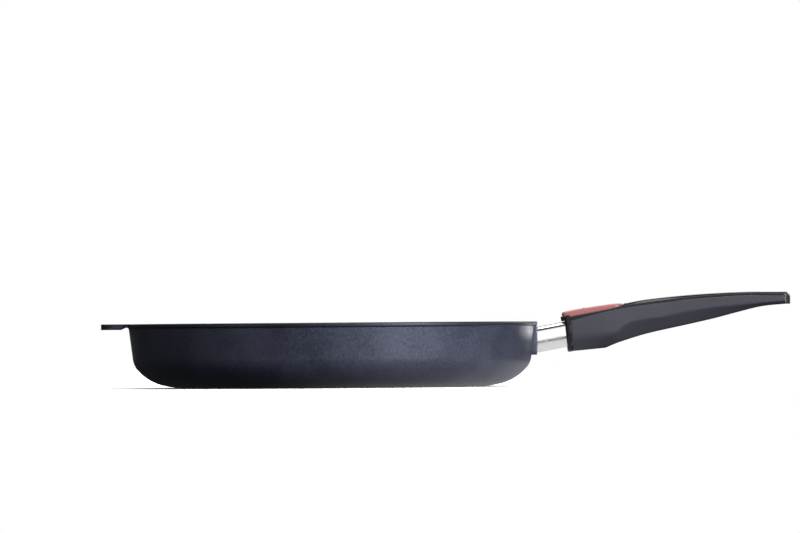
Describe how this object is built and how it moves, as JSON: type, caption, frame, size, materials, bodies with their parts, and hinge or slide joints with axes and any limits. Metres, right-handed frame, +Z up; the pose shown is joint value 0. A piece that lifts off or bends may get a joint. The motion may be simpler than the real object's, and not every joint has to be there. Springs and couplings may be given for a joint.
{
  "type": "frying pan",
  "caption": "Shallow round cast frying pan with a rounded wall, a rim band, a helper tab and a detachable grip released by a rocker.",
  "frame": {"origin": "centre of the base on its resting face", "axes": "+Z up, +X from the vessel's centre along the handle, +Y across it"},
  "size_m": [0.4818, 0.287, 0.0647],
  "materials": {
    "enamelled_iron": "matt, finely speckled",
    "polished_steel": "polished",
    "plain_steel": "plain",
    "matt_grip": "matt, soft to the touch",
    "gloss_black": "gloss",
    "red_plastic": "satin",
    "guide_plastic": "plain"
  },
  "bodies": {
    "pan": {"pan_casting": "enamelled_iron"},
    "handle": {"ferrule": "polished_steel", "ferrule_pin": "plain_steel", "tongue_guide": "guide_plastic", "latch_spring": "plain_steel", "latch_rivets": "plain_steel", "rocker_pin": "plain_steel", "front_collar": "gloss_black", "grip_shell": "matt_grip", "grip_spine": "gloss_black", "grip_screws": "plain_steel"},
    "rocker": {"button_cap": "red_plastic", "release_lever": "plain_steel"}
  },
  "joints": [
    {"name": "handle_pull", "type": "slide", "parent": "pan", "child": "handle", "axis": [0.9833, 0, 0.1822], "range_m": [0, 0.05], "deforming": ["latch_spring"]},
    {"name": "rocker_press", "type": "hinge", "parent": "handle", "child": "rocker", "pos_m": [0.18652, 0, 0.04963], "axis": [0, 1, 0], "range_deg": [0, 8.5], "stiffness_Nm_per_rad": 0.6, "springref_deg": -5.73, "deforming": ["latch_spring"]}
  ]
}
